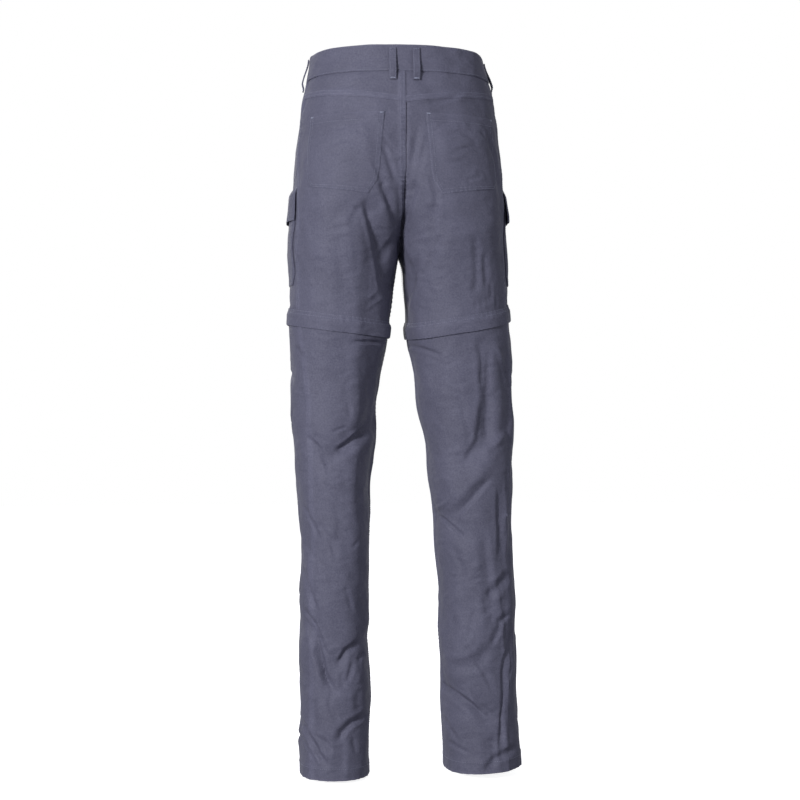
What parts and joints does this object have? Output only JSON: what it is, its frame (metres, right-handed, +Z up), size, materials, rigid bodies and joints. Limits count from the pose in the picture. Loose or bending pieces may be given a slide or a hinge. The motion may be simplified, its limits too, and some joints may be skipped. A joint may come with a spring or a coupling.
{
  "type": "convertible zip-off trousers",
  "caption": "Convertible zip-off trousers in their hollow worn form, with patch and cargo pockets, belt loops and lower legs that zip off at the knee.",
  "frame": {"origin": "middle of the waist opening, level with the top of the waistband, where the wearer's waist holds the garment", "axes": "+Z up, the front faces -Y, the wearer's left leg lies at +X"},
  "size_m": [0.3523, 0.2302, 1.064],
  "materials": {
    "cloth": "light plain-woven nylon, slate grey with a soft sheen",
    "zip_tape": "woven polyester zip tape with a nylon coil",
    "zip_metal": "die-cast zinc slider, dull gunmetal",
    "button": "moulded polyester button"
  },
  "bodies": {
    "root": {"waistband": "cloth", "yoke_left": "cloth", "back_left": "cloth", "front_left": "cloth", "lower_back_left": "cloth", "lower_front_left": "cloth", "belt_loop_back_left": "cloth", "belt_loop_side_left": "cloth", "belt_loop_front_left": "cloth", "back_pocket_left": "cloth", "cargo_pocket_left": "cloth", "cargo_flap_left": "cloth", "knee_zip_left": "zip_tape", "knee_cover_left": "cloth", "zip_slider_left": "zip_metal", "yoke_right": "cloth", "back_right": "cloth", "front_right": "cloth", "lower_back_right": "cloth", "lower_front_right": "cloth", "belt_loop_back_right": "cloth", "belt_loop_side_right": "cloth", "belt_loop_front_right": "cloth", "back_pocket_right": "cloth", "cargo_pocket_right": "cloth", "cargo_flap_right": "cloth", "knee_zip_right": "zip_tape", "knee_cover_right": "cloth", "zip_slider_right": "zip_metal", "fly_zip": "zip_tape", "fly_flap": "cloth", "waist_button": "button"}
  },
  "joints": []
}
